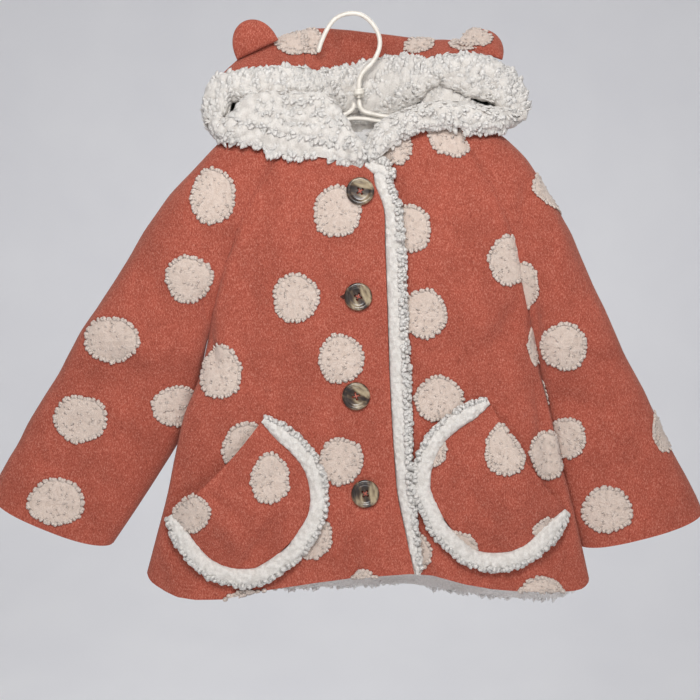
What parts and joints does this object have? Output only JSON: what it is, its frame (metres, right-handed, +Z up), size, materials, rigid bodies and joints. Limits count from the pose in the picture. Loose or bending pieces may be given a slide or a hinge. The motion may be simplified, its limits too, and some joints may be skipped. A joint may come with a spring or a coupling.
{
  "type": "child's hooded coat on wire hanger",
  "caption": "Toddler's raglan hooded coat with bear ears, pile lining, buttoned front and pouch pockets, hanging flat on a coated wire hanger.",
  "frame": {"origin": "inside of the hanger's hook at its top, where it rests on the rail or knob that holds it", "axes": "+X to the left-hand sleeve (the viewer's right), +Y from the coat's front to its back, +Z up"},
  "size_m": [0.7132, 0.1186, 0.5918],
  "materials": {
    "napped_cloth": "thick napped woolly cloth, matt, with tufted cream dots",
    "sherpa_pile": "curly off-white pile, matt",
    "button_horn": "polished horn-look resin, mottled brown",
    "coated_wire": "off-white plastic coating, satin"
  },
  "bodies": {
    "root": {"front_right": "napped_cloth", "front_left": "napped_cloth", "back": "napped_cloth", "sleeve_right": "napped_cloth", "sleeve_left": "napped_cloth", "pocket_right": "napped_cloth", "pocket_left": "napped_cloth", "hood_side_right": "napped_cloth", "hood_centre": "napped_cloth", "hood_side_left": "napped_cloth", "ear_right": "napped_cloth", "ear_left": "napped_cloth", "front_band": "sherpa_pile", "pocket_trim_right": "sherpa_pile", "pocket_trim_left": "sherpa_pile", "hood_lining": "sherpa_pile", "hood_lining_side_right": "sherpa_pile", "hood_lining_side_left": "sherpa_pile", "lining_back": "sherpa_pile", "lining_sleeve_right": "sherpa_pile", "lining_sleeve_left": "sherpa_pile", "button_1": "button_horn", "button_2": "button_horn", "button_3": "button_horn", "button_4": "button_horn", "hanger_hook": "coated_wire", "hanger_arms": "coated_wire", "hanger_collar": "coated_wire"}
  },
  "joints": []
}
